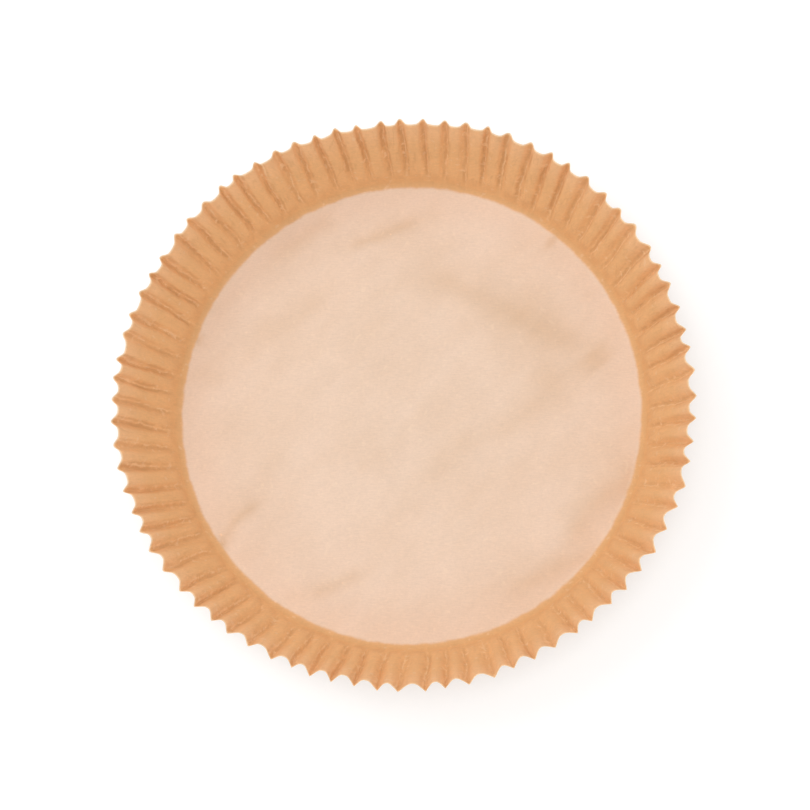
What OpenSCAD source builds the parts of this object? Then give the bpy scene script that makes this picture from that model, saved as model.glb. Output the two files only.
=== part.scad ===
// Fluted paper liner for an air fryer basket.
// One disc of paper pressed into a shallow dish. The floor stays flat, a small rounded corner
// turns up into a sloping wall, and the spare paper of the wall is taken up by flutes that
// start just above the corner and deepen towards the rim.
// The dish stands on its floor, with +Z up and the origin at the middle of the underside.

/* [Dish] */
// Width of the floor, measured to where the line of the wall meets the table
base_d = 200; // [120:1:260]
// How far the rim's outer ridges stand out past the edge of the floor
flare = 18; // [6:1:40]
// Height of the rim above the table
depth = 40; // [20:1:70]
// Radius of the rounded corner between floor and wall
corner_r = 3; // [1:0.5:8]

/* [Flutes] */
// Number of flutes round the wall
flutes = 80; // [40:1:96]
// Depth of a flute at the rim, from its outer ridge to its inner crest
flute_depth = 3; // [1:0.1:5]
// Keenness of the outer ridges: 1 is a sharp fold, 2 is an even wave
ridge_shape = 1.4; // [1:0.05:2]
// How the flutes deepen up the wall: 1 is evenly, less is sooner
deepening = 0.7; // [0.4:0.05:1.5]

/* [Paper] */
// Thickness of the paper
paper_t = 0.06; // [0.05:0.01:0.3]

/* [Hidden] */

// Where the points of a flute's section lie, as shares of the flute, from one ridge to the next
SECTION = [0, 0.1, 0.3, 0.5, 0.7, 0.9];
// Heights at which the wall's rings lie, as shares of its slope, above the corner
WALL_RINGS = [0, 0.25, 1];
// How far round the corner its rings lie, below the wall
CORNER_RINGS = [0, 0.5];

base_r = base_d / 2;
wall_angle = atan2(depth, flare);
// Distance from the point where floor and wall would meet to each end of the rounded corner
corner_run = corner_r * tan(wall_angle / 2);

section_points = len(SECTION);
around = flutes * section_points;
rings = len(CORNER_RINGS) + len(WALL_RINGS);

// Share of the flute's depth at one place along its section: 1 on the ridge, 0 on the inner crest
function section_rise(share) = 1 - pow(sin(180 * share), ridge_shape);

// Radius, height and flute depth of a ring round the rounded corner
function corner_ring(share) =
    let (turn = wall_angle * share)
    [base_r - corner_run + corner_r * sin(turn), corner_r * (1 - cos(turn)), 0];

// Radius over the ridges, height and flute depth of a ring on the sloping wall
function wall_ring(share) =
    let (start_r = base_r + corner_run * cos(wall_angle), start_z = corner_run * sin(wall_angle))
    [
        start_r + (base_r + flare - start_r) * share,
        start_z + (depth - start_z) * share,
        flute_depth * pow(share, deepening)
    ];

RINGS = concat(
    [for (share = CORNER_RINGS) corner_ring(share)],
    [for (share = WALL_RINGS) wall_ring(share)]
);

// A point of the outer face, by ring and by place round the dish
function outer_point(ring, place) =
    let (
        size = RINGS[ring],
        turn = (floor(place / section_points) + SECTION[(place + around) % section_points]) / flutes,
        radius = size[0] - size[2] * (1 - section_rise(SECTION[(place + around) % section_points]))
    )
    [radius * cos(360 * turn), radius * sin(360 * turn), size[1]];

// Direction from the outer face to the inner face at that point: straight up on the floor's edge,
// and square to the paper everywhere else
function inward(ring, place) =
    ring == 0 ? [0, 0, 1] :
    let (
        along = outer_point(ring, place + 1) - outer_point(ring, place - 1),
        up = outer_point(min(ring + 1, rings - 1), place) - outer_point(ring - 1, place),
        square = cross(up, along)
    )
    square / norm(square);

function inner_point(ring, place) = outer_point(ring, place) + paper_t * inward(ring, place);

// Two triangles between four corners. The diagonal is mirrored from one side of a ridge to the
// other, so both sides of a flute look alike.
function quad(a, b, c, d, mirrored) =
    mirrored ? [[a, b, d], [b, c, d]] : [[a, b, c], [a, c, d]];

function past_crest(place) = place % section_points >= section_points / 2;

module pressed_dish() {
    skin_points = rings * around;
    outer_points = [
        for (ring = [0:rings - 1], place = [0:around - 1]) outer_point(ring, place)
    ];
    inner_points = [
        for (ring = [0:rings - 1], place = [0:around - 1]) inner_point(ring, place)
    ];
    underside = [for (place = [0:around - 1]) place];
    floor_top = [for (place = [0:around - 1]) skin_points + around - 1 - place];
    outer_wall = [
        for (ring = [0:rings - 2], place = [0:around - 1])
            let (low = ring * around, high = low + around, next = (place + 1) % around)
            each quad(low + place, high + place, high + next, low + next, past_crest(place))
    ];
    inner_wall = [
        for (ring = [0:rings - 2], place = [0:around - 1])
            let (
                low = skin_points + ring * around,
                high = low + around,
                next = (place + 1) % around
            )
            each quad(low + next, high + next, high + place, low + place, !past_crest(place))
    ];
    rim_edge = [
        for (place = [0:around - 1])
            let (
                out = (rings - 1) * around,
                in = skin_points + out,
                next = (place + 1) % around
            )
            each quad(out + place, in + place, in + next, out + next, past_crest(place))
    ];
    polyhedron(
        points = concat(outer_points, inner_points),
        faces = concat([underside], [floor_top], outer_wall, inner_wall, rim_edge),
        convexity = 10
    );
}

module liner() {
    color([0.88, 0.72, 0.55])
        pressed_dish();
}

liner();
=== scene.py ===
"""Looks of a fluted paper liner for an air fryer basket.

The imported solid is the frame. One sheet of greaseproof paper takes its place, with the folds,
crinkles and soft waves that pressing leaves in real paper. It lies on a pale floor in soft
light, and the camera looks down on it, nearly along its axis.
"""

import logging
import math
from dataclasses import dataclass, field
from enum import Enum

import bpy
import numpy as np
from mathutils import Matrix, Vector, noise

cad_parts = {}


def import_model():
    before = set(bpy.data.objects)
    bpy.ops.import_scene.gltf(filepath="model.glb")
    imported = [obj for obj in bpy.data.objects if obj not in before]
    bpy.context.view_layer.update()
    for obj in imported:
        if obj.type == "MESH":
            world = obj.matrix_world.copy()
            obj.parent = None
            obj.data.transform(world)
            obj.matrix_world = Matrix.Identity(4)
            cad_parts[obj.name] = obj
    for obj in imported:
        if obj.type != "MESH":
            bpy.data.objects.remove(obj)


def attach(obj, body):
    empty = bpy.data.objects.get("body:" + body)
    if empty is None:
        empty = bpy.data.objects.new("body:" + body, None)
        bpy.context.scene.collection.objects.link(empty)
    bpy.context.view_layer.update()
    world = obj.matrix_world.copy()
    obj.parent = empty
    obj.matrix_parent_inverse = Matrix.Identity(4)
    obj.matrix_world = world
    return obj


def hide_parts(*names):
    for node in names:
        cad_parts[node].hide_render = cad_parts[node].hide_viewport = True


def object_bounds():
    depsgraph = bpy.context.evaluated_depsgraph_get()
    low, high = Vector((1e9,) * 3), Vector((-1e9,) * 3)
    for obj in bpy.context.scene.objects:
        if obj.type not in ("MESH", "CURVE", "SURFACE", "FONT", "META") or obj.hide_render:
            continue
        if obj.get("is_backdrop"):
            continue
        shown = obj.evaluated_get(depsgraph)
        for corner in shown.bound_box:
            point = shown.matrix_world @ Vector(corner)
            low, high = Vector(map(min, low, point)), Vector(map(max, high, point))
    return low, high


# One millimetre, in metres
MM = 0.001
LOG = logging.getLogger("liner")

Colour = tuple[float, float, float]
Values = float | np.ndarray
Socket = bpy.types.NodeSocket
COLOUR_SOCKET = "NodeSocketColor"
VALUE_SOCKET = "NodeSocketFloat"
PLACE_SOCKET = "NodeSocketVector"

# Times this, a place has no height
FLAT = np.array([1, 1, 0])
# Heights of the paper's relief where its groups give 1
GRAIN_RELIEF = 0.018 * MM
CREASE_RELIEF = 0.40 * MM


class Side(Enum):
    """Faces of the paper, each with a finish. The value is the material's place on the mesh."""

    INSIDE = 0
    OUTSIDE = 1
    CUT_EDGE = 2


class Mark(Enum):
    """Names of the values that the mesh hands to its materials."""

    WALL_SHARE = "wall_share"
    FROM_RIDGE = "from_ridge"
    FLUTE_SIDE = "flute_side"
    LIFT = "lift"
    SHADE_STRENGTH = "shade_strength"


class Stray(Enum):
    """Uses of noise on the sheet's points. The value moves the noise, so that no two uses agree."""

    FOLD = 7.7
    FOLD_FINE = 2.9
    FOLD_PATCH = 6.1
    CRINKLE = 3.1
    CRINKLE_FINE = 9.4
    FLOOR_EDGE = 5.2
    FLOOR_EDGE_FINE = 1.7
    FLOOR_WAVE = 2.3
    LIFT = 4.4


def linear(colour: Colour) -> tuple[float, float, float, float]:
    """Turns a screen colour into the linear colour that a shader wants.

    Args:
        colour: Red, green and blue from 0 to 255, as a screen shows them.

    Returns:
        Linear red, green, blue and an alpha of 1.
    """
    shares = [value / 255 for value in colour]
    steps = [share / 12.92 if share <= 0.04045 else ((share + 0.055) / 1.055) ** 2.4 for share in shares]
    return (steps[0], steps[1], steps[2], 1.0)


def noise_at(points: np.ndarray, size: float, use: Stray) -> np.ndarray:
    """Smooth noise from about -1 to 1 at each point.

    Args:
        points: Places, one row each.
        size: Distance over which the noise changes, in the points' own unit.
        use: What the noise is for.

    Returns:
        One value for each point.
    """
    moved = points / size + use.value
    return np.array([noise.noise(Vector(row)) for row in moved])


def bump(distance: np.ndarray, width: float) -> np.ndarray:
    """A soft hump of height 1 at distance 0, which is nearly gone at the given width."""
    return np.exp(-((2 * distance / width) ** 2))


def eased(share: np.ndarray) -> np.ndarray:
    """Turns an even run from 0 to 1 into one that starts and ends softly."""
    return share * share * (3 - 2 * share)


def ring_points(radius: Values, angle: np.ndarray, height: Values) -> np.ndarray:
    """Points round the dish's axis, one for each angle."""
    return np.stack([radius * np.cos(angle), radius * np.sin(angle), height + 0 * angle], axis=1)


@dataclass(frozen=True)
class DishSizes:
    """Sizes of the pressed dish in metres.

    Args:
        rim_radius: Radius over the outer ridges at the rim.
        depth: Height of the rim above the table.
        floor_radius: Radius at which the line of the wall would meet the table.
        corner_radius: Radius of the corner between floor and wall.
        flutes: Number of flutes round the wall.
        flute_depth: Depth of a flute at the rim.
        ridge_width: Width of a ridge's flank, as a share of a flute.
        panel_curve: How much of the depth the wide panels between the ridges take up by curving.
        deepening: How the flutes deepen up the wall, where 1 is evenly and less is sooner.
        paper: Thickness of the paper.
    """

    rim_radius: float
    depth: float
    floor_radius: float = 100 * MM
    corner_radius: float = 3.6 * MM
    flutes: int = 80
    flute_depth: float = 2.9 * MM
    ridge_width: float = 0.33
    panel_curve: float = 0.22
    deepening: float = 0.48
    paper: float = 0.06 * MM

    @property
    def wall_angle(self) -> float:
        """Slope of the wall above the table, in radians."""
        return math.atan2(self.depth, self.rim_radius - self.floor_radius)

    @property
    def corner_run(self) -> float:
        """Distance from the point where floor and wall would meet to each end of the corner."""
        return self.corner_radius * math.tan(self.wall_angle / 2)

    @property
    def flat_radius(self) -> float:
        """Radius at which the flat floor ends and the corner begins."""
        return self.floor_radius - self.corner_run


@dataclass(frozen=True)
class FluteHabits:
    """How far the flutes of real paper stray from the mould's even ones.

    Args:
        pitch: Stray of a ridge along the rim, as a share of a flute.
        lean: Stray of a ridge between its foot and the rim, as a share of a flute.
        depth: Stray of a flute's depth, as a share of it.
        farthest: Farthest that a depth or a ridge strays, as a multiple of its usual stray.
        slack: How much deeper the flutes are on the rim's slack side, as a share of their depth.
        slack_turn: Direction of the slack side, in degrees from +X.
        slack_flank: How much wider the flanks are there, as a share of their width.
        slack_mean: Mean slackness of the ridges, where 0 is a taut round ridge and 1 a slack keen one.
        slack_swing: How much slacker than that they are on the slack side.
        least_slack: Slackness of the tautest ridges.
        slack_keenness: Keenness of a slack ridge, where 1 has straight flanks.
        slack_top: How much narrower a slack ridge's flat top is, as a share of its width.
        wander: How far a ridge wanders from side to side on its way up, as a share of a flute.
        wander_turns: Fewest and most times that it does so between foot and rim.
        deepening: Stray of the way in which a flute deepens up the wall.
        ridge: Stray of a ridge in or out, in metres.
        latest_start: Highest share of the wall at which a flute begins.
        toe: Share of the wall over which a flute's start is softened.
        top: Narrowest and widest half of a ridge's flat top, as shares of a flute.
        flank: Stray of a flank's width, as a share of it.
        shade_turn: Direction of the side where the ridges' painted stripes of shade are strongest, in
            degrees from +X.
        least_shade: Strength of those painted stripes on the other side, where 1 is the strongest.
        shade_stray: Stray of a ridge's stripe strength, as a share of it.
        crest_lift: How far the inner crests stand above the outer ridges at the rim, in metres.
        seed: Start of the random draws.
    """

    pitch: float = 0.085
    lean: float = 0.11
    depth: float = 0.09
    farthest: float = 2.0
    slack: float = 0.12
    slack_turn: float = 288.0
    slack_flank: float = 0.26
    slack_mean: float = 0.46
    slack_swing: float = 0.54
    least_slack: float = 0.24
    slack_keenness: float = 1.5
    slack_top: float = 0.6
    wander: float = 0.028
    wander_turns: tuple[float, float] = (0.8, 1.8)
    deepening: float = 0.12
    ridge: float = 0.20 * MM
    latest_start: float = 0.035
    toe: float = 0.18
    top: tuple[float, float] = (0.01, 0.05)
    flank: float = 0.20
    shade_turn: float = 112.0
    least_shade: float = 0.42
    shade_stray: float = 0.3
    crest_lift: float = 0.5 * MM
    seed: int = 11


@dataclass(frozen=True)
class RimWave:
    """One slow wave round the rim.

    Args:
        order: Number of waves in one turn.
        outward: How far it moves the rim out, in metres.
        upward: How far it lifts the rim, in metres.
        turn: Direction of its first crest, in degrees from +X.
        growth: How it grows up the wall, outward and upward, where 1 is evenly.
    """

    order: int
    outward: float
    upward: float
    turn: float
    growth: tuple[float, float] = (1.5, 2.0)


@dataclass(frozen=True)
class FloorFold:
    """A soft fold in the floor, where the paper lifts off the table.

    Args:
        path: Points that it runs through, in millimetres from the middle of the floor.
        width: Its width, in metres.
        height: Its height, in metres.
        shade_share: How much painted shade it puts on the floor, where 1 is the full painted shade of a
            fold.
        end: Share of its length over which each end runs out.
        least_end: What is left of it at its very ends.
        ragged: How much its width strays, as a share of it.
        rag_sizes: Sizes of the coarse and the fine strays, as multiples of its width.
        patch: Distance over which it comes and goes, in metres.
        patch_level: Mean strength along it, how far that strays, and the least that is left.
        skirt: How much of its height lies in a wide soft skirt.
        skirt_width: Width of that skirt, as a multiple of the fold's.
    """

    path: tuple[tuple[float, float], ...]
    width: float
    height: float
    shade_share: float
    end: float = 0.25
    least_end: float = 0.25
    ragged: float = 0.5
    rag_sizes: tuple[float, float] = (1.6, 0.6)
    patch: float = 16 * MM
    patch_level: tuple[float, float, float] = (0.92, 0.20, 0.5)
    skirt: float = 0.4
    skirt_width: float = 2.2

    def profile(self, places: np.ndarray) -> np.ndarray:
        """Share of the fold's height at each place of the floor.

        Args:
            places: Places on the floor, in metres.

        Returns:
            A share from 0 to 1 for each place.
        """
        corners = np.array(self.path) * MM
        nearest = np.full(len(places), np.inf)
        ends = np.ones(len(places))
        for step, (start, end) in enumerate(zip(corners, corners[1:])):
            run = end - start
            rest = places[:, :2] - start
            along = np.clip(rest @ run / (run @ run), 0, 1)
            distance = np.linalg.norm(rest - along[:, None] * run, axis=1)
            closer = distance < nearest
            progress = (step + along) / (len(corners) - 1)
            from_end = np.clip(np.minimum(progress, 1 - progress) / self.end, self.least_end, 1)
            ends = np.where(closer, from_end, ends)
            nearest = np.where(closer, distance, nearest)
        flat = places * FLAT
        coarse = noise_at(flat, self.rag_sizes[0] * self.width, Stray.FOLD)
        fine = noise_at(flat, self.rag_sizes[1] * self.width, Stray.FOLD_FINE)
        mean, swing, least = self.patch_level
        patchy = np.clip(mean + swing * noise_at(flat, self.patch, Stray.FOLD_PATCH), least, 1)
        spread = self.width * (1 + self.ragged * (coarse + 0.5 * fine))
        crest = (1 - self.skirt) * bump(nearest, spread)
        return patchy * ends * (crest + self.skirt * bump(nearest, self.skirt_width * spread))


@dataclass(frozen=True)
class FloorWave:
    """Long shallow waves that cross the floor.

    Args:
        length: Distance from one crest to the next, in metres.
        height: Height of a crest, in metres.
        turn: Direction in which the waves follow each other, in degrees from +X.
        bend: How far they stray from straight lines, in radians of the wave.
    """

    length: float
    height: float
    turn: float
    bend: float = 3.5

    def rise(self, points: np.ndarray, drift: np.ndarray) -> np.ndarray:
        """How far the waves lift the floor.

        Args:
            points: Places on the floor.
            drift: How far the waves stray from straight lines at each place, from -1 to 1.

        Returns:
            Heights in metres.
        """
        turn = math.radians(self.turn)
        along = points[:, 0] * math.cos(turn) + points[:, 1] * math.sin(turn)
        return self.height * (0.5 + 0.5 * np.sin(2 * np.pi * along / self.length + self.bend * drift))


@dataclass(frozen=True)
class NoiseLayer:
    """One layer of noise on the sheet's points.

    Args:
        strength: How strong it is.
        size: Distance over which it changes, in metres.
        use: What it is for.
    """

    strength: float
    size: float
    use: Stray

    def at(self, points: np.ndarray) -> np.ndarray:
        """The layer's value at each point."""
        return self.strength * noise_at(points, self.size, self.use)


@dataclass(frozen=True)
class Crinkles:
    """Small dents and pleats that pressing leaves on the wall, in metres.

    Args:
        broad: Height of the broad dents, which lie all over the wall.
        broad_size: Size of a broad dent.
        fine: Height of the fine dents, which lie near the ridges.
        fine_size: Size of a fine dent.
        fine_squash: What heights are multiplied by for the fine dents. Below 1 they are longer
            up the wall than round it.
        pleat: Height of the slanting pleats, which lie near the ridges.
        pleat_round: How fast the pleats follow each other round the wall, in metres a radian.
        pleat_up: The same, up the wall.
        pleat_bend: How far the broad dents bend the pleats, in radians.
        near: Distance from a ridge at which fine dents and pleats end, as a share of a flute.
        foot: Share of the wall over which they all grow from its foot.
    """

    broad: float = 0.10 * MM
    broad_size: float = 5.0 * MM
    fine: float = 0.13 * MM
    fine_size: float = 1.7 * MM
    fine_squash: float = 0.55
    pleat: float = 0.05 * MM
    pleat_round: float = 1.1 * MM
    pleat_up: float = 1.3 * MM
    pleat_bend: float = 4.0
    near: float = 0.5
    foot: float = 0.25


@dataclass
class Ring:
    """One closed row of points round the sheet.

    Args:
        points: Places, in metres.
        wall_share: Share of the wall's slope, 0 on the floor and 1 at the rim.
        from_ridge: Distance from the nearest ridge, as a share of a flute.
        flute_side: Which side of its flute each point is on, from -1 to 1.
        lift: Share of a full fold's painted shade that the floor has there, most where the paper lifts off
            the table.
        shade_strength: Strength of the painted shade along the ridge there, where 1 is the strongest.
    """

    points: np.ndarray
    wall_share: float
    from_ridge: np.ndarray
    flute_side: np.ndarray
    lift: np.ndarray
    shade_strength: np.ndarray


@dataclass
class PaperLiner:
    """The liner: one sheet of paper pressed into a fluted dish.

    Args:
        sizes: Sizes of the dish.
        habits: How the flutes stray.
        crinkles: Small dents and pleats on the wall.
        rim_waves: Slow waves round the rim.
        folds: Soft folds in the floor and at its edge.
        floor_waves: Long waves that cross the floor.
        half_section: Where the points of a flute's section lie from a ridge to the inner crest,
            as shares of the flute. The other half mirrors it.
        wall_rows: Rows of points up the sloping wall.
        corner_rows: Rows of points round the corner.
        floor_step: Distance between rings on the floor, in metres.
        first_step: Distance from the corner to the floor's outermost ring, in metres.
        closest: Least distance between points of a ring, as a share of the floor's step.
        fewest: Fewest points in a ring.
        edge_strays: How far the floor's edge strays from a circle, in metres.
        edge_fade: Distance over which these strays fade inwards, in metres.
        calm_edge: Width of the floor's edge in which its waves fade, in metres.
        held_edge: Width of the floor's edge in which its folds end, in metres.
        wave_drift: How the floor's waves stray from straight lines.
        shade_level: Share of the folds' painted shade that the whole floor has.
        shade_blotches: How that share strays, in blotches.
        rings: Rows of points from the middle of the floor to the rim, once they are laid.
    """

    sizes: DishSizes
    habits: FluteHabits = FluteHabits()
    crinkles: Crinkles = Crinkles()
    rim_waves: tuple[RimWave, ...] = (
        RimWave(order=2, outward=0.8 * MM, upward=0.5 * MM, turn=5),
        RimWave(order=3, outward=0.35 * MM, upward=0.5 * MM, turn=70),
        RimWave(order=5, outward=0.30 * MM, upward=0.3 * MM, turn=200),
        RimWave(order=7, outward=0.20 * MM, upward=0.2 * MM, turn=120),
    )
    folds: tuple[FloorFold, ...] = (
        FloorFold(((-30, 71), (-12, 77), (10, 86)), 5.0 * MM, 0.60 * MM, 0.70),
        FloorFold(((-12, 53), (10, 58), (32, 48), (50, 38), (65, 30), (81, 23)), 10 * MM, 0.60 * MM, 0.44),
        FloorFold(((12, 59), (40, 50), (62, 38), (84, 30)), 22 * MM, 0.20 * MM, 0.16),
        FloorFold(((76, 26), (83, 17)), 12 * MM, 0.45 * MM, 0.50),
        FloorFold(((55, 32), (60, 8), (46, -4), (28, -13)), 17 * MM, 0.65 * MM, 0.32),
        FloorFold(((96, -13), (90, -31), (74, -44), (61, -62)), 11 * MM, 0.60 * MM, 0.46),
        FloorFold(((85, -56), (60, -68), (32, -78)), 8 * MM, 0.50 * MM, 0.42),
        FloorFold(((22, -16), (8, -30), (-10, -50)), 10 * MM, 0.60 * MM, 0.24),
        FloorFold(((-66, 62), (-42, 79), (-30, 86)), 6 * MM, 0.45 * MM, 0.34),
        FloorFold(((-70, 33), (-52, 41), (-32, 53)), 10 * MM, 0.35 * MM, 0.22),
        FloorFold(((-94, 18), (-78, 14)), 6 * MM, 0.20 * MM, 0.18),
        FloorFold(((-86, -62), (-74, -46), (-62, -36)), 3.6 * MM, 0.45 * MM, 0.60),
        FloorFold(((-46, -79), (-30, -73), (-18, -67)), 5 * MM, 0.40 * MM, 0.46),
        FloorFold(((-24, -26), (-8, -16)), 7 * MM, 0.25 * MM, 0.26),
        FloorFold(((-66, -30), (-52, -14)), 8 * MM, 0.30 * MM, 0.16),
        FloorFold(((65, 77), (58, 69)), 2.2 * MM, 0.40 * MM, 0.55),
        FloorFold(((-86, -62), (-78, -54)), 2.8 * MM, 0.35 * MM, 0.80),
        FloorFold(((-99, 35), (-89, 31)), 2.8 * MM, 0.35 * MM, 0.80),
    )
    floor_waves: tuple[FloorWave, ...] = (
        FloorWave(length=62 * MM, height=0.60 * MM, turn=-42),
        FloorWave(length=31 * MM, height=0.24 * MM, turn=-58),
        FloorWave(length=90 * MM, height=0.45 * MM, turn=35),
    )
    half_section: tuple[float, ...] = (0, 0.03, 0.07, 0.11, 0.15, 0.20, 0.27, 0.38, 0.5)
    wall_rows: int = 24
    corner_rows: int = 5
    floor_step: float = 1.8 * MM
    first_step: float = 0.7 * MM
    closest: float = 0.65
    fewest: int = 30
    edge_strays: tuple[NoiseLayer, ...] = (
        NoiseLayer(0.22 * MM, 7 * MM, Stray.FLOOR_EDGE),
        NoiseLayer(0.12 * MM, 2.6 * MM, Stray.FLOOR_EDGE_FINE),
    )
    edge_fade: float = 12 * MM
    calm_edge: float = 14 * MM
    held_edge: float = 2 * MM
    wave_drift: NoiseLayer = NoiseLayer(1.0, 45 * MM, Stray.FLOOR_WAVE)
    shade_level: float = 0.10
    shade_blotches: NoiseLayer = NoiseLayer(0.14, 30 * MM, Stray.LIFT)
    rings: list[Ring] = field(default_factory=list)

    def __post_init__(self) -> None:
        """Draws every flute's own habits once, so that all rows agree on them."""
        habits = self.habits
        draw = np.random.default_rng(habits.seed)
        count = self.sizes.flutes
        farthest = habits.farthest
        self.pitch_stray = habits.pitch * draw.uniform(-1, 1, count)
        self.lean_stray = habits.lean * draw.uniform(-1, 1, count)
        self.depth_stray = 1 + habits.depth * draw.normal(0, 1, count).clip(-farthest, farthest)
        self.ridge_stray = habits.ridge * draw.normal(0, 1, count).clip(-farthest, farthest)
        self.start = habits.latest_start * draw.uniform(0, 1, count)
        slack_side = self.facing(habits.slack_turn)
        flank = self.sizes.ridge_width * (1 + habits.slack_flank * slack_side)
        self.flank_after = flank * (1 + habits.flank * draw.uniform(-1, 1, count))
        self.flank_before = flank * (1 + habits.flank * draw.uniform(-1, 1, count))
        slackness = habits.slack_mean + habits.slack_swing * slack_side
        self.slackness = slackness.clip(habits.least_slack, 1)
        top = draw.uniform(*habits.top, count)
        self.top_width = top * (1 - habits.slack_top * self.slackness)
        # Strength of the painted shade along each ridge, strongest on one side of the dish
        shaded_side = 0.5 + 0.5 * self.facing(habits.shade_turn)
        side_shade = habits.least_shade + (1 - habits.least_shade) * shaded_side
        self.shade_strength = (side_shade * (1 + habits.shade_stray * draw.uniform(-1, 1, count))).clip(0, 1)
        self.wander_phase = draw.uniform(0, 2 * np.pi, count)
        self.wander_turns = draw.uniform(*habits.wander_turns, count)
        self.deepening = self.sizes.deepening + habits.deepening * draw.uniform(-1, 1, count)

    def facing(self, turn: float) -> np.ndarray:
        """How far each ridge faces one direction, given in degrees from +X: from -1 to 1."""
        around = 2 * np.pi * np.arange(self.sizes.flutes) / self.sizes.flutes
        return np.cos(around - math.radians(turn))

    def places_round(self) -> tuple[np.ndarray, np.ndarray]:
        """Numbers the points round the sheet.

        Returns:
            The flute that each point is in, and its share of that flute.
        """
        mirrored = [1 - share for share in self.half_section[-2:0:-1]]
        section = np.array([*self.half_section, *mirrored])
        flute = np.repeat(np.arange(self.sizes.flutes), len(section))
        return flute, np.tile(section, self.sizes.flutes)

    def angles(self, share_up: float) -> np.ndarray:
        """Angle of each point round the dish, at one share of the wall's height.

        Args:
            share_up: Share of the wall's slope, 0 at its foot and 1 at the rim.

        Returns:
            Angles in radians.
        """
        flute, share = self.places_round()
        phase = 2 * np.pi * self.wander_turns * share_up + self.wander_phase
        wander = self.habits.wander * np.sin(phase)
        lean = self.lean_stray * (share_up - 0.5)
        ridge = np.arange(self.sizes.flutes) + self.pitch_stray + lean + wander
        following = np.roll(ridge, -1)
        following[-1] += self.sizes.flutes
        between = ridge[flute] * (1 - share) + following[flute] * share
        return 2 * np.pi / self.sizes.flutes * between

    def between_ridges(self, values: np.ndarray) -> np.ndarray:
        """Spreads one value for each ridge smoothly over the points between the ridges.

        Args:
            values: One value for each ridge.

        Returns:
            One value for each point round the sheet.
        """
        flute, share = self.places_round()
        blend = eased(share)
        return values[flute] * (1 - blend) + np.roll(values, -1)[flute] * blend

    def rise(self) -> np.ndarray:
        """Share of the flute's depth at each point round: 1 on the ridge, 0 on the inner crest."""
        flute, share = self.places_round()
        following = (flute + 1) % self.sizes.flutes
        is_after = share < 0.5
        distance = np.minimum(share, 1 - share)
        top = np.where(is_after, self.top_width[flute], self.top_width[following])
        flank = np.where(is_after, self.flank_after[flute], self.flank_before[following])
        slackness = np.where(is_after, self.slackness[flute], self.slackness[following])
        fallen = np.clip((distance - top) / flank, 0, 1)
        taut = 0.5 + 0.5 * np.cos(np.pi * fallen)
        slack = (1 - fallen) ** self.habits.slack_keenness
        ridge = taut * (1 - slackness) + slack * slackness
        curve = self.sizes.panel_curve
        return (1 - curve) * ridge + curve * np.cos(np.pi * distance) ** 2

    def wall_ring(self, share_up: float) -> Ring:
        """Points of one row of the sloping wall.

        Args:
            share_up: Share of the wall's slope, 0 at its foot and 1 at the rim.

        Returns:
            The row.
        """
        sizes = self.sizes
        _, share = self.places_round()
        angle = self.angles(share_up)
        foot_radius = sizes.floor_radius + sizes.corner_run * math.cos(sizes.wall_angle)
        foot_height = sizes.corner_run * math.sin(sizes.wall_angle)
        radius = foot_radius + (sizes.rim_radius - foot_radius) * share_up
        height = foot_height + (sizes.depth - foot_height) * share_up

        start = self.between_ridges(self.start)
        begun = np.clip((share_up - start) / (1 - start), 0, 1)
        toe = np.clip(begun / self.habits.toe, 0, 1)
        grown = toe * (2 - toe) * begun ** self.between_ridges(self.deepening)
        slack = 1 + self.habits.slack * np.cos(angle - math.radians(self.habits.slack_turn))
        depth = sizes.flute_depth * slack * self.between_ridges(self.depth_stray) * grown
        fall = depth * (1 - self.rise())
        stray = self.between_ridges(self.ridge_stray) * grown

        wave_out = np.zeros_like(angle)
        wave_up = np.zeros_like(angle)
        for wave in self.rim_waves:
            swing = np.cos(wave.order * (angle - math.radians(wave.turn)))
            wave_out += wave.outward * swing * share_up ** wave.growth[0]
            wave_up += wave.upward * swing * share_up ** wave.growth[1]

        outward = radius - fall + stray + wave_out + self.crinkled(angle, share_up, share, grown)
        lift = self.habits.crest_lift * fall / sizes.flute_depth + wave_up
        return self.marked(ring_points(outward, angle, height + lift), share_up)

    def crinkled(
        self, angle: np.ndarray, share_up: float, share: np.ndarray, grown: np.ndarray
    ) -> np.ndarray:
        """Relief of the small dents and pleats in one row of the wall.

        Args:
            angle: Angle of each point, in radians.
            share_up: Share of the wall's slope.
            share: Share of its flute for each point.
            grown: How far the flutes have grown at each point.

        Returns:
            How far each point moves out, in metres.
        """
        own = self.crinkles
        slope_length = self.sizes.depth / math.sin(self.sizes.wall_angle)
        up_the_wall = slope_length * share_up
        unrolled = ring_points(self.sizes.rim_radius, angle, up_the_wall)
        broad = noise_at(unrolled, own.broad_size, Stray.CRINKLE)
        squashed = unrolled * np.array([1.0, 1.0, own.fine_squash])
        fine = noise_at(squashed, own.fine_size, Stray.CRINKLE_FINE)
        phase = self.sizes.rim_radius * angle / own.pleat_round + up_the_wall / own.pleat_up
        pleats = np.sin(phase + own.pleat_bend * broad)
        near_ridge = bump(np.minimum(share, 1 - share), own.near)
        dents = own.broad * broad + (own.fine * fine + own.pleat * pleats * grown) * near_ridge
        return dents * min(1, share_up / own.foot)

    def corner_ring(self, share: float) -> Ring:
        """Points of one row round the corner between floor and wall.

        Args:
            share: How far round the corner the row lies, from 0 on the floor to 1 at the wall.

        Returns:
            The row.
        """
        sizes = self.sizes
        turn = sizes.wall_angle * share
        angle = self.angles(0)
        radius = sizes.flat_radius + sizes.corner_radius * math.sin(turn)
        height = sizes.corner_radius * (1 - math.cos(turn))
        points = ring_points(radius + self.edge_wobble(angle), angle, height)
        return self.marked(points, 0.0, self.lift(points))

    def edge_wobble(self, angle: np.ndarray) -> np.ndarray:
        """How far the floor's edge strays from a true circle, in metres, at each angle."""
        on_edge = ring_points(self.sizes.floor_radius, angle, 0)
        return sum(layer.at(on_edge) for layer in self.edge_strays)

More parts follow.
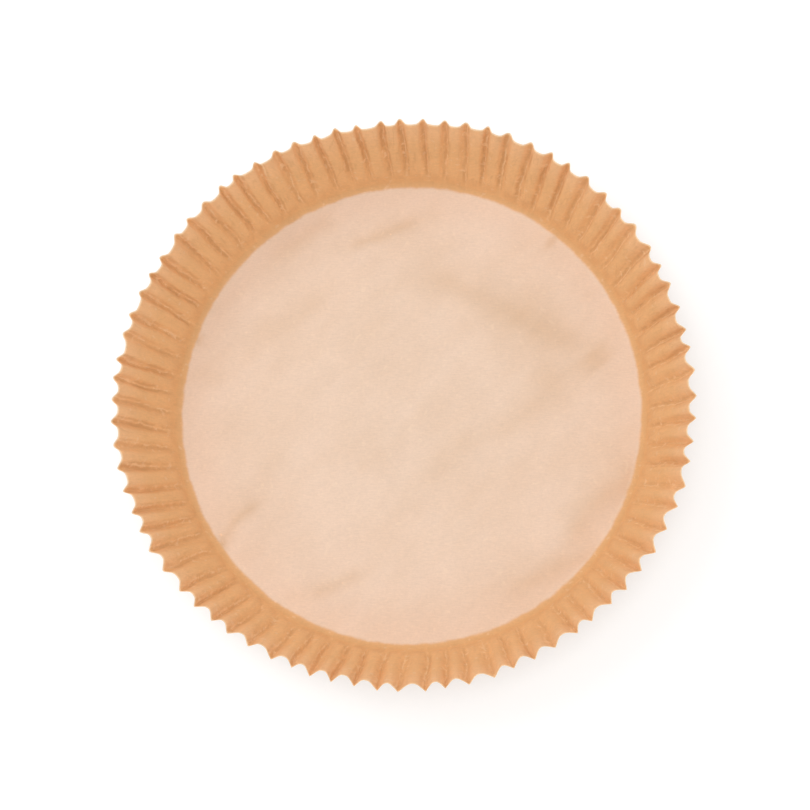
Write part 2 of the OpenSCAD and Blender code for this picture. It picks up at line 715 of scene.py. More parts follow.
    def floor_height(self, points: np.ndarray) -> np.ndarray:
        """How far the floor stands above the table, in metres, at each place.

        Args:
            points: Places on the floor.

        Returns:
            Heights in metres, never below 0.
        """
        reach = np.linalg.norm(points[:, :2], axis=1)
        drift = self.wave_drift.at(points * FLAT)
        waves = sum(wave.rise(points, drift) for wave in self.floor_waves)
        folds = sum(fold.height * fold.profile(points) for fold in self.folds)
        calm = eased(self.inside_edge(reach, self.calm_edge))
        return waves * calm + folds * self.inside_edge(reach, self.held_edge)

    def inside_edge(self, reach: Values, width: float) -> Values:
        """Mask that falls from 1 to 0 over the given width of the floor's edge, in metres."""
        return np.clip((self.sizes.flat_radius - reach) / width, 0, 1)

    def lift(self, points: np.ndarray) -> np.ndarray:
        """How much of the folds' painted shade each place of the floor has, from about 0 to 1."""
        folds = sum(fold.shade_share * fold.profile(points) for fold in self.folds)
        return self.shade_level + self.shade_blotches.at(points * FLAT) + folds

    def floor_rings(self) -> list[Ring]:
        """Rings of the floor from its edge inwards. The number of points halves as they shrink.

        Returns:
            The rings, from the outermost to the innermost.
        """
        made = []
        stride = 2
        radius = self.sizes.flat_radius - self.first_step
        angle = self.angles(0)
        while radius > 2 * self.floor_step:
            chosen = angle[::stride]
            most = 2 * math.pi * radius / (self.closest * self.floor_step)
            while len(chosen) > max(self.fewest, most):
                stride *= 2
                chosen = angle[::stride]
            near = 1 - self.inside_edge(radius, self.edge_fade)
            points = ring_points(radius + self.edge_wobble(chosen) * near, chosen, 0)
            points[:, 2] = self.floor_height(points)
            made.append(self.marked(points, 0.0, self.lift(points)))
            radius -= self.floor_step
        return made

    def marked(self, points: np.ndarray, share_up: float, lift: np.ndarray | None = None) -> Ring:
        """Joins a row of points with the values that the materials read.

        Args:
            points: The row's points.
            share_up: Share of the wall's slope.
            lift: How much of the folds' painted shade each point has, if it is on the floor.

        Returns:
            The row.
        """
        flute, share = self.places_round()
        stride = len(share) // len(points)
        flute = flute[::stride][: len(points)]
        share = share[::stride][: len(points)]
        nearest = np.where(share < 0.5, flute, (flute + 1) % self.sizes.flutes)
        lifted = np.zeros(len(points)) if lift is None else lift
        from_ridge = np.minimum(share, 1 - share)
        side = np.sin(2 * np.pi * share)
        return Ring(points, share_up, from_ridge, side, lifted, self.shade_strength[nearest])

    def lay_rings(self) -> None:
        """Lays all the rings of the sheet, from the middle of the floor out to the rim."""
        self.rings = self.floor_rings()[::-1]
        self.rings += [self.corner_ring(row / self.corner_rows) for row in range(self.corner_rows)]
        self.rings += [self.wall_ring(row / self.wall_rows) for row in range(self.wall_rows + 1)]

    def faces(self) -> list[tuple[int, ...]]:
        """Faces of the sheet's upper side, in order from the middle out.

        Returns:
            Corners of each face. Point 0 is the middle of the floor.
        """
        made: list[tuple[int, ...]] = []
        first = 1
        count = len(self.rings[0].points)
        made += [(0, first + place, first + (place + 1) % count) for place in range(count)]
        for inner, outer in zip(self.rings, self.rings[1:]):
            few = len(inner.points)
            many = len(outer.points)
            beyond = first + few
            ratio = many // few
            for place in range(few):
                here = first + place
                there = first + (place + 1) % few
                out = [beyond + (place * ratio + step) % many for step in range(ratio + 1)]
                if ratio == 1:
                    made.append((here, out[0], out[1], there))
                else:
                    middle = ratio // 2
                    made += [(here, out[step], out[step + 1]) for step in range(middle)]
                    made.append((here, out[middle], there))
                    made += [(there, out[step], out[step + 1]) for step in range(middle, ratio)]
            first = beyond
        return made

    def build(self) -> bpy.types.Object:
        """Builds the liner's mesh: two faces of paper and the cut edge between them.

        Returns:
            The liner, without its finishes.
        """
        self.lay_rings()
        middle = np.array([[0.0, 0.0, 0.0]])
        middle[:, 2] = self.floor_height(middle)
        lower = np.concatenate([middle] + [ring.points for ring in self.rings])
        upper_faces = self.faces()
        upper = lower + self.sizes.paper * self.normals(lower, upper_faces)
        count = len(lower)
        rim = len(self.rings[-1].points)
        rim_start = count - rim
        faces = [tuple(count + corner for corner in face) for face in upper_faces]
        faces += [face[::-1] for face in upper_faces]
        for place in range(rim):
            here = rim_start + place
            there = rim_start + (place + 1) % rim
            faces.append((here, there, count + there, count + here))
        mesh = bpy.data.meshes.new("liner_paper")
        mesh.from_pydata(np.concatenate([lower, upper]).tolist(), [], faces)
        sides = [Side.INSIDE.value] * len(upper_faces) + [Side.OUTSIDE.value] * len(upper_faces)
        sides += [Side.CUT_EDGE.value] * rim
        mesh.polygons.foreach_set("material_index", sides)
        smooth = [side != Side.CUT_EDGE.value for side in sides]
        mesh.polygons.foreach_set("use_smooth", smooth)
        self.write_marks(mesh)
        mesh.update()
        liner = bpy.data.objects.new("liner_paper", mesh)
        bpy.context.scene.collection.objects.link(liner)
        LOG.info("liner: %d points, %d faces", len(mesh.vertices), len(mesh.polygons))
        return liner

    def dress(self, liner: bpy.types.Object) -> None:
        """Gives the liner its finishes and its place in the frame.

        Args:
            liner: The liner.
        """
        grain = paper_grain_group()
        creases = crease_group()
        finishes = {
            Side.INSIDE: INSIDE_PAPER.material(grain, creases),
            Side.OUTSIDE: OUTSIDE_PAPER.material(grain, creases),
            Side.CUT_EDGE: CUT_EDGE.material(grain),
        }
        for side in Side:
            liner.data.materials.append(finishes[side])
        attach(liner, "root")
        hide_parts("liner")
        LOG.info("liner dressed")

    def normals(self, points: np.ndarray, faces: list[tuple[int, ...]]) -> np.ndarray:
        """Direction square to the sheet at each point, towards its upper side.

        Args:
            points: Points of the sheet.
            faces: Faces of its upper side.

        Returns:
            One direction of length 1 for each point.
        """
        halves = [(face[0], face[2], face[3]) for face in faces if len(face) == 4]
        threes = np.array([face[:3] for face in faces] + halves)
        first, second, third = (points[threes[:, corner]] for corner in range(3))
        square = np.cross(second - first, third - first)
        total = np.zeros_like(points)
        for corner in range(3):
            np.add.at(total, threes[:, corner], square)
        return total / np.linalg.norm(total, axis=1, keepdims=True)

    def write_marks(self, mesh: bpy.types.Mesh) -> None:
        """Writes the values that the materials read, the same on both faces of the paper.

        Args:
            mesh: The liner's mesh.
        """
        marks = {
            Mark.WALL_SHARE: [np.full(len(ring.points), ring.wall_share) for ring in self.rings],
            Mark.FROM_RIDGE: [ring.from_ridge for ring in self.rings],
            Mark.FLUTE_SIDE: [ring.flute_side for ring in self.rings],
            Mark.LIFT: [ring.lift for ring in self.rings],
            Mark.SHADE_STRENGTH: [ring.shade_strength for ring in self.rings],
        }
        for mark, rows in marks.items():
            values = np.concatenate([np.zeros(1)] + rows)
            attribute = mesh.attributes.new(mark.value, "FLOAT", "POINT")
            attribute.data.foreach_set("value", np.concatenate([values, values]).astype(np.float32))


class Tree:
    """Short ways to write a node tree: each adds a node, links its inputs and returns its output."""

    def __init__(self, tree: bpy.types.NodeTree) -> None:
        """Starts with an existing tree."""
        self.tree = tree

    def node(self, kind: str, **settings: object) -> bpy.types.Node:
        """Adds a node and sets its own settings.

        Args:
            kind: Blender's name for the node.
            settings: Values for the node's own attributes.

        Returns:
            The node.
        """
        made = self.tree.nodes.new(kind)
        for name, value in settings.items():
            setattr(made, name, value)
        return made

    def feed(self, socket: Socket, value: object) -> None:
        """Links an output to a socket, or sets the socket's own value.

        Args:
            socket: The socket.
            value: The output, or the value.
        """
        if isinstance(value, Socket):
            self.tree.links.new(value, socket)
        else:
            socket.default_value = value

    def math(
        self, operation: str, first: object, second: object = 0.0, clamp: bool = False
    ) -> Socket:
        """Adds a Math node.

        Args:
            operation: Blender's name for the operation.
            first: First value or output.
            second: Second value or output.
            clamp: Whether the result is kept between 0 and 1.

        Returns:
            The node's output.
        """
        made = self.node("ShaderNodeMath", operation=operation, use_clamp=clamp)
        self.feed(made.inputs[0], first)
        self.feed(made.inputs[1], second)
        return made.outputs[0]

    def plus(self, first: object, second: object) -> Socket:
        """Adds two values."""
        return self.math("ADD", first, second)

    def less(self, first: object, second: object) -> Socket:
        """Takes the second value from the first."""
        return self.math("SUBTRACT", first, second)

    def times(self, first: object, second: object) -> Socket:
        """Multiplies two values."""
        return self.math("MULTIPLY", first, second)

    def greater(self, first: object, second: object) -> Socket:
        """The greater of two values."""
        return self.math("MAXIMUM", first, second)

    def lesser(self, first: object, second: object) -> Socket:
        """The lesser of two values."""
        return self.math("MINIMUM", first, second)

    def unsigned(self, value: object) -> Socket:
        """A value without its sign."""
        return self.math("ABSOLUTE", value)

    def ramp(
        self, value: object, low: float, high: float, start: float = 0.0, end: float = 1.0
    ) -> Socket:
        """Turns a value that runs from low to high into one that eases from start to end.

        Args:
            value: Value or output to map.
            low: Value at which the result is start.
            high: Value at which the result is end.
            start: First result.
            end: Last result.

        Returns:
            The node's output.
        """
        made = self.node("ShaderNodeMapRange", interpolation_type="SMOOTHSTEP")
        self.feed(made.inputs["Value"], value)
        made.inputs["From Min"].default_value = low
        made.inputs["From Max"].default_value = high
        made.inputs["To Min"].default_value = start
        made.inputs["To Max"].default_value = end
        return made.outputs["Result"]

    def noise(self, place: Socket, scale: float, detail: float = 2.0, rough: float = 0.5) -> Socket:
        """Adds a Noise Texture.

        Args:
            place: Coordinates.
            scale: Number of changes in each metre.
            detail: Number of finer layers.
            rough: How strong the finer layers are.

        Returns:
            Noise from 0 to 1.
        """
        made = self.node("ShaderNodeTexNoise")
        self.feed(made.inputs["Vector"], place)
        made.inputs["Scale"].default_value = scale
        made.inputs["Detail"].default_value = detail
        made.inputs["Roughness"].default_value = rough
        return made.outputs["Fac"]

    def stray(self, place: Socket, scale: float, detail: float = 2.0, rough: float = 0.5) -> Socket:
        """The same noise, taken round 0."""
        return self.less(self.noise(place, scale, detail, rough), 0.5)

    def mix(self, share: object, first: object, second: object) -> Socket:
        """Mixes two colours.

        Args:
            share: How much of the second colour shows.
            first: First colour or output.
            second: Second colour or output.

        Returns:
            The mixed colour.
        """
        made = self.node("ShaderNodeMix", data_type="RGBA", blend_type="MIX")
        self.feed(made.inputs[0], share)
        self.feed(made.inputs[6], first)
        self.feed(made.inputs[7], second)
        return made.outputs[2]

    def vector(self, operation: str, *values: object, output: str = "Vector") -> Socket:
        """Adds a Vector Math node.

        Args:
            operation: Blender's name for the operation.
            values: Vectors or outputs that it works on.
            output: Name of the output that is wanted.

        Returns:
            The node's output.
        """
        made = self.node("ShaderNodeVectorMath", operation=operation)
        for socket, value in zip(made.inputs, values):
            self.feed(socket, value)
        return made.outputs[output]

    def flat(self, place: Socket) -> Socket:
        """A place without its height."""
        return self.vector("MULTIPLY", place, (1.0, 1.0, 0.0))

    def height(self, place: Socket) -> Socket:
        """The height of a place."""
        return self.vector("DOT_PRODUCT", place, (0.0, 0.0, 1.0), output="Value")

    def length(self, vector: Socket) -> Socket:
        """The length of a vector."""
        return self.vector("LENGTH", vector, output="Value")

    def mark(self, mark: Mark) -> Socket:
        """Reads one of the mesh's own values."""
        return self.node("ShaderNodeAttribute", attribute_name=mark.value).outputs["Fac"]

    def place(self) -> Socket:
        """Reads the place on the piece, in metres."""
        return self.node("ShaderNodeTexCoord").outputs["Object"]

    def group(self, group: bpy.types.NodeTree, **values: object) -> bpy.types.Node:
        """Places a node group and feeds its inputs.

        Args:
            group: The group.
            values: Value or output for each input. A name's underscores stand for spaces.

        Returns:
            The group's node.
        """
        made = self.node("ShaderNodeGroup")
        made.node_tree = group
        for name, value in values.items():
            self.feed(made.inputs[name.replace("_", " ")], value)
        return made


def new_group(
    name: str, inputs: dict[str, object], outputs: dict[str, str]
) -> tuple[bpy.types.NodeTree, bpy.types.Node, bpy.types.Node]:
    """Starts a shader node group.

    Args:
        name: The group's name.
        inputs: First value of each input, or its kind where it has no first value.
        outputs: Kind of each output.

    Returns:
        The group, its input node and its output node.
    """
    tree = bpy.data.node_groups.new(name, "ShaderNodeTree")
    for label, value in inputs.items():
        own_kind = isinstance(value, str)
        plain_kind = COLOUR_SOCKET if isinstance(value, tuple) else VALUE_SOCKET
        socket = tree.interface.new_socket(
            label, in_out="INPUT", socket_type=value if own_kind else plain_kind
        )
        if not own_kind:
            socket.default_value = value
    for label, kind in outputs.items():
        tree.interface.new_socket(label, in_out="OUTPUT", socket_type=kind)
    return tree, tree.nodes.new("NodeGroupInput"), tree.nodes.new("NodeGroupOutput")


def paper_grain_group() -> bpy.types.NodeTree:
    """Grain of unbleached paper: cloudy pulp, short fibres and small pale specks.

    Returns:
        A group that turns a plain colour into the paper's colour, with a height for its relief.
    """
    tree, given, out = new_group(
        "paper_grain",
        {
            "Place": PLACE_SOCKET,
            "Colour": (0.8, 0.6, 0.4, 1.0),
            "Cloudiness": 0.05,
            "Grain": 0.05,
            "Specks": 0.3,
        },
        {"Colour": COLOUR_SOCKET, "Height": VALUE_SOCKET},
    )
    make = Tree(tree)
    place = given.outputs["Place"]
    cloud = make.stray(place, scale=70.0, detail=3.0, rough=0.6)
    grain = make.noise(place, scale=900.0, detail=4.0, rough=0.7)
    stretched = make.node("ShaderNodeMapping")
    make.feed(stretched.inputs["Vector"], place)
    stretched.inputs["Rotation"].default_value = (0.0, 0.0, 0.9)
    stretched.inputs["Scale"].default_value = (1.0, 7.0, 1.0)
    fibre = make.noise(stretched.outputs["Vector"], scale=330.0, detail=3.0, rough=0.6)
    speck = make.ramp(make.noise(place, scale=430.0, detail=0.0), 0.72, 0.80)

    pulp = make.plus(grain, fibre)
    cloud_shift = make.times(cloud, given.outputs["Cloudiness"])
    grain_shift = make.times(make.less(pulp, 1.0), given.outputs["Grain"])
    level = make.plus(make.plus(cloud_shift, grain_shift), 1.0)
    tinted = make.vector("MULTIPLY", given.outputs["Colour"], level)
    pale = make.mix(0.5, tinted, (1.0, 0.80, 0.58, 1.0))
    speckled = make.mix(make.times(speck, given.outputs["Specks"]), tinted, pale)
    make.feed(out.inputs["Colour"], speckled)
    make.feed(out.inputs["Height"], pulp)
    return tree


def crease_group() -> bpy.types.NodeTree:
    """Painted shade along the ridges of the flutes, painted highlights beside it, and faint streaks up the
    wall.

    Returns:
        A group that gives masks from 0 to 1 for the stripe of painted shade, its dark painted creases and
        its painted highlights with pale flecks, the streaks' level round 0, and the relief of them all.
    """
    tree, given, out = new_group(
        "flute_crease_shading",
        {"Place": PLACE_SOCKET, "Wall Share": 0.0, "From Ridge": 0.0, "Flute Side": 0.0},
        dict.fromkeys(("Stripe", "Crease", "Pale", "Streak", "Height"), VALUE_SOCKET),
    )
    make = Tree(tree)
    place = given.outputs["Place"]
    share = given.outputs["Wall Share"]
    ridge = given.outputs["From Ridge"]

    # Noise that is long up the wall: the direction round the dish changes fast, the height slowly
    around = make.vector("NORMALIZE", make.flat(place))
    up_the_wall = make.vector("ADD", around, make.vector("MULTIPLY", place, (0.0, 0.0, 2.0)))
    broad_streak = make.noise(up_the_wall, scale=38.0, rough=0.6)
    fine_streak = make.noise(up_the_wall, scale=70.0, rough=0.6)
    streaks = make.less(make.plus(broad_streak, fine_streak), 1.0)

    # Distance from the fold, as a share of a flute with the sign of its side
    wander = make.times(make.stray(place, scale=170.0, detail=3.0, rough=0.6), 0.24)
    steep_side = make.times(given.outputs["Flute Side"], 8.0)
    sign = make.greater(make.lesser(steep_side, 1.0), -1.0)
    from_ridge = make.plus(make.times(ridge, sign), wander)
    offset = make.times(make.stray(place, scale=34.0, detail=0.0), 0.34)
    from_fold = make.less(from_ridge, offset)

    # Where on the wall creases are
    start = make.times(make.noise(place, scale=60.0, detail=0.0), 0.20)
    risen = make.ramp(make.less(share, start), -0.12, 0.12)
    near_ridge = make.times(make.ramp(ridge, 0.36, 0.24), risen)
    close_to_ridge = make.times(make.ramp(ridge, 0.40, 0.08), risen)

    # Painted shade: the stripe along the fold, a second one beside it and faint ones over the whole flute
    main = make.ramp(make.unsigned(from_fold), 0.15, 0.02)
    beside = make.ramp(make.unsigned(make.plus(from_fold, 0.20)), 0.09, 0.01)
    broken = make.ramp(make.noise(place, scale=110.0, detail=1.0), 0.40, 0.60, 0.0, 0.75)
    stripe = make.times(make.greater(main, make.times(beside, broken)), near_ridge)
    # Uneven strength of the painted shade stripe
    uneven = make.ramp(make.noise(place, scale=130.0, detail=3.0, rough=0.6), 0.32, 0.60, 0.48, 1.0)
    minor = make.ramp(make.unsigned(make.stray(up_the_wall, scale=30.0)), 0.050, 0.0)
    short = make.ramp(make.noise(place, scale=130.0, detail=1.0), 0.42, 0.62)
    faint = make.times(make.times(minor, short), make.times(risen, 0.33))
    stripe = make.greater(make.times(stripe, uneven), faint)

    # Painted shade in the dark crease of the fold, a painted highlight on the edge beside it, and pale
    # flecks
    patchy = make.ramp(make.noise(place, scale=240.0, detail=3.0, rough=0.65), 0.32, 0.62)
    line = make.ramp(make.unsigned(make.less(from_fold, 0.02)), 0.05, 0.0)
    crease_shade = make.times(make.times(line, patchy), near_ridge)
    edge = make.ramp(make.unsigned(make.plus(from_fold, 0.11)), 0.06, 0.01)
    pale = make.times(make.times(edge, make.ramp(patchy, 1.0, 0.2)), near_ridge)
    fleck = make.ramp(make.noise(place, scale=300.0, detail=1.0), 0.62, 0.74, 0.0, 0.9)
    fleck = make.times(fleck, close_to_ridge)

    crinkle = make.times(make.stray(place, scale=420.0, detail=3.0, rough=0.65), close_to_ridge)
    height = make.plus(crinkle, make.times(streaks, 0.12))
    height = make.plus(height, make.times(make.less(pale, stripe), 0.16))
    height = make.less(height, make.times(crease_shade, 0.06))
    make.feed(out.inputs["Stripe"], stripe)
    make.feed(out.inputs["Crease"], crease_shade)
    make.feed(out.inputs["Pale"], make.greater(pale, fleck))
    make.feed(out.inputs["Streak"], streaks)
    make.feed(out.inputs["Height"], height)
    return tree


@dataclass(frozen=True)
class PaperFinish:
    """Finish of one face of the paper, with painted light and shade. Colours are screen colours from 0 to
    255.

    Args:
        name: The material's name.
        floor: Colour of the flat floor, paler than the wall's as painted light on the one paper.
        floor_rim: Colour of the floor near its edge, which the wall's own colour is reflected onto, with
            painted shade beside the wall.
        floor_fold_shade: Painted shade of the floor where it lifts off the table in folds, and over its
            waves and blotches.
        wall: Colour of the wall, darker and more orange than the floor's as painted shade on the one
            paper.
        corner: Colour of the corner, which faces up more than the wall does: painted shade that evens out
            the stronger light on it.
        wall_foot: Colour of the wall just above the corner.
        wall_rim: Colour of the panels near the rim.
        ridge_tip: Colour of the ridges near the rim, painted shade in the hollow of each tip on the
            inside.
        crease_shade: Colour of the painted shade in the grooves along the ridges.
        pale: Colour of the painted highlights beside the creases and of pale flecks.
        rim: Colour of the paper's last millimetre: a painted highlight where light gets in from the cut
            edge.
        stripe_share: How strongly the stripe of painted shade along each ridge takes the crease shade's
            colour.
        panel_share: How strongly the panels between the ridges take it, as painted shade in the grooves.
        crease_share: How strongly the dark painted creases take it.
        pale_share: How strongly the painted highlights and pale flecks take their colour.
        tip_share: How strongly the ridges' tips take theirs.
        rim_share: How strongly the last millimetre takes its.
        streak_share: How much brighter or darker a streak up the wall is.
        roughness: Roughness of the paper.
        roughness_stray: How far the grain changes that.
        middle: Distances from the axis over which the floor's colour turns to the painted shade of its
            edge.
        turn_up: Distances from the axis over which the floor's colours give way to the corner's.
        ragged: Range in which these distances stray, all in metres.
        corner_heights: Heights over which the corner's painted shade gives way to the wall's colour, in
            metres.
    """

    name: str
    floor: Colour
    floor_rim: Colour
    floor_fold_shade: Colour
    wall: Colour
    corner: Colour
    wall_foot: Colour
    wall_rim: Colour
    ridge_tip: Colour
    crease_shade: Colour
    pale: Colour
    rim: Colour
    stripe_share: float = 0.30
    panel_share: float = 0.0
    crease_share: float = 0.12
    pale_share: float = 0.55
    tip_share: float = 0.4
    rim_share: float = 0.6
    streak_share: float = 0.10
    roughness: float = 0.62
    roughness_stray: float = 0.06
    middle: tuple[float, float] = (50 * MM, 97 * MM)
    turn_up: tuple[float, float] = (97.6 * MM, 99.2 * MM)
    ragged: float = 2.0 * MM
    corner_heights: tuple[float, float] = (0.1 * MM, 3.2 * MM)

    def material(self, grain: bpy.types.NodeTree, creases: bpy.types.NodeTree) -> bpy.types.Material:
        """Builds the material.

        Args:
            grain: The group for the paper's grain.
            creases: The group for the flutes' creases.

        Returns:
            The material.
        """
        made = bpy.data.materials.new(self.name)
        made.use_nodes = True
        make = Tree(made.node_tree)
        shader = made.node_tree.nodes["Principled BSDF"]
        place = make.place()
        creased = make.group(
            creases,
            Place=place,
            Wall_Share=make.mark(Mark.WALL_SHARE),
            From_Ridge=make.mark(Mark.FROM_RIDGE),
            Flute_Side=make.mark(Mark.FLUTE_SIDE),
        )
        # The floor's paler colour and the wall's darker, more orange one are painted light and shade on
        # one paper
        turned_up = self.reach(make, place, self.turn_up)
        floor = self.floor_colour(make, place)
        wall = self.wall_colour(make, place, creased.outputs)
        grained = make.group(
            grain,
            Place=place,
            Colour=make.mix(turned_up, floor, wall),
            Cloudiness=0.08,
            Grain=0.20,
            Specks=make.ramp(turned_up, 0.0, 1.0, 0.22, 0.3),
        )
        make.feed(shader.inputs["Base Color"], grained.outputs["Colour"])

        smoothest = self.roughness - self.roughness_stray
        roughest = self.roughness + self.roughness_stray
        gloss = make.ramp(grained.outputs["Height"], 0.6, 1.4, smoothest, roughest)
        make.feed(shader.inputs["Roughness"], gloss)
        shader.inputs["Specular IOR Level"].default_value = 0.35
        relief = make.plus(
            make.times(grained.outputs["Height"], GRAIN_RELIEF),
            make.times(make.times(creased.outputs["Height"], turned_up), CREASE_RELIEF),
        )
        bump_node = make.node("ShaderNodeBump")
        bump_node.inputs["Distance"].default_value = 1.0
        bump_node.inputs["Strength"].default_value = 1.0
        make.feed(bump_node.inputs["Height"], relief)
        make.feed(shader.inputs["Normal"], bump_node.outputs["Normal"])
        return made

    def floor_colour(self, make: Tree, place: Socket) -> Socket:
        """Colour of the floor, with painted shade near its edge, on its folds and over its soft waves.

        Args:
            make: The material's tree.
            place: Place on the piece.

        Returns:
            The colour.
        """
        drawn_out = make.node("ShaderNodeMapping", vector_type="TEXTURE")
        make.feed(drawn_out.inputs["Vector"], place)
        drawn_out.inputs["Rotation"].default_value = (0.0, 0.0, 0.75)
        drawn_out.inputs["Scale"].default_value = (2.8, 1.0, 1.0)
        # Painted shade of the floor's soft waves, in long slanting bands, added to the painted shade of
        # its folds
        wave_shade = make.stray(drawn_out.outputs["Vector"], scale=75.0, detail=3.0, rough=0.6)
        fold_shade = make.math("ADD", make.mark(Mark.LIFT), make.times(wave_shade, 0.6), clamp=True)
        # Painted shade near the floor's edge, beside the wall
        flat = make.mix(
            self.reach(make, place, self.middle), linear(self.floor), linear(self.floor_rim)
        )
        return make.mix(fold_shade, flat, linear(self.floor_fold_shade))

    def wall_colour(
        self, make: Tree, place: Socket, creased: bpy.types.bpy_prop_collection
    ) -> Socket:
        """Colour of the corner and the wall, with painted shade in the grooves and painted highlights
        beside them and at the rim.

        Args:
            make: The material's tree.
            place: Place on the piece.
            creased: Outputs of the flutes' creases.

        Returns:
            The colour.
        """
        share = make.mark(Mark.WALL_SHARE)
        ridge = make.mark(Mark.FROM_RIDGE)
        above_foot = make.ramp(share, 0.0, 0.22)
        # Painted shade on the corner, which gets more light than the wall
        above_corner = make.ramp(make.height(place), *self.corner_heights)
        near_rim = make.ramp(share, 0.55, 1.0)
        # Painted shade in the grooves: a stripe along each ridge, and on the outside the panels between
        # them
        stripe = make.times(creased["Stripe"], make.times(make.mark(Mark.SHADE_STRENGTH), self.stripe_share))
        panel = make.times(make.ramp(ridge, 0.10, 0.30), make.ramp(share, 0.0, 0.35))
        # Painted shade in the hollow of each tip near the rim
        tip = make.times(make.ramp(ridge, 0.20, 0.03), make.ramp(share, 0.80, 0.99))
        # Painted highlight along the rim's last millimetre
        at_rim = make.ramp(share, 0.970, 0.992, 0.0, self.rim_share)

        wall = make.mix(above_foot, linear(self.wall_foot), linear(self.wall))
        wall = make.mix(above_corner, linear(self.corner), wall)
        for mask, colour in (
            (near_rim, self.wall_rim),
            (stripe, self.crease_shade),
            (make.times(panel, self.panel_share), self.crease_shade),
            (make.times(tip, self.tip_share), self.ridge_tip),
            (make.times(creased["Crease"], self.crease_share), self.crease_shade),
            # Painted highlights beside the creases, with pale flecks
            (make.times(creased["Pale"], self.pale_share), self.pale),
            (at_rim, self.rim),
        ):
            wall = make.mix(mask, wall, linear(colour))
        level = make.plus(make.times(creased["Streak"], self.streak_share), 1.0)
        return make.vector("MULTIPLY", wall, level)

    def reach(self, make: Tree, place: Socket, distances: tuple[float, float]) -> Socket:
        """Mask that runs from 0 to 1 between two distances from the axis, a little raggedly.

        Args:
            make: The material's tree.
            place: Place on the piece.
            distances: Where the mask starts and where it is 1, in metres.

        Returns:
            The mask.
        """
        flat = make.flat(place)
        stray = make.times(make.stray(flat, scale=130.0, detail=3.0, rough=0.6), self.ragged)
        return make.ramp(make.plus(make.length(flat), stray), *distances)


@dataclass(frozen=True)
class CutEdgeFinish:
    """Finish of the paper's cut edge at the rim.

    Args:
        name: The material's name.
        pulp: Colour of the cut fibres.
        roughness: Roughness of the edge.
    """

    name: str
    pulp: Colour
    roughness: float = 0.8

    def material(self, grain: bpy.types.NodeTree) -> bpy.types.Material:
        """Builds the material.

        Args:
            grain: The group for the paper's grain.

        Returns:
            The material.
        """
        made = bpy.data.materials.new(self.name)
        made.use_nodes = True
        make = Tree(made.node_tree)
        shader = made.node_tree.nodes["Principled BSDF"]
        grained = make.group(
            grain, Place=make.place(), Colour=linear(self.pulp), Cloudiness=0.08, Grain=0.2, Specks=0.2
        )
        make.feed(shader.inputs["Base Color"], grained.outputs["Colour"])
        shader.inputs["Roughness"].default_value = self.roughness
        return made


# Both faces are one paper: the inside's darker, more orange colours and the outside's paler ones are
# painted light and shade
INSIDE_PAPER = PaperFinish(
    name="paper_inside",
    floor=(231, 205, 183),
    floor_rim=(229, 204, 183),
    floor_fold_shade=(212, 179, 147),
    corner=(220, 171, 119),
    wall_foot=(235, 183, 128),
    wall=(240, 189, 134),
    wall_rim=(246, 196, 146),
    ridge_tip=(236, 178, 116),
    crease_shade=(204, 150, 98),
    pale=(253, 214, 168),
    rim=(255, 236, 204),
    stripe_share=0.66,
)
OUTSIDE_PAPER = PaperFinish(
    name="paper_outside",
    floor=(236, 206, 178),
    floor_rim=(235, 203, 173),
    floor_fold_shade=(231, 196, 162),
    corner=(234, 194, 154),
    wall_foot=(240, 199, 158),
    wall=(246, 207, 167),
    wall_rim=(248, 211, 172),
    ridge_tip=(248, 212, 174),
    crease_shade=(218, 170, 126),
    pale=(252, 222, 188),
    rim=(248, 219, 184),
    stripe_share=0.10,
    panel_share=0.62,
)
CUT_EDGE = CutEdgeFinish(name="paper_edge", pulp=(246, 218, 184))


@dataclass(frozen=True)
class Lamp:
    """A soft square lamp.

    Args:
        name: Its name.
        place: Where it hangs, in metres.
        size: Length of its side, in metres.
        power: Its power, in watts.
    """

    name: str
    place: tuple[float, float, float]
    size: float
    power: float


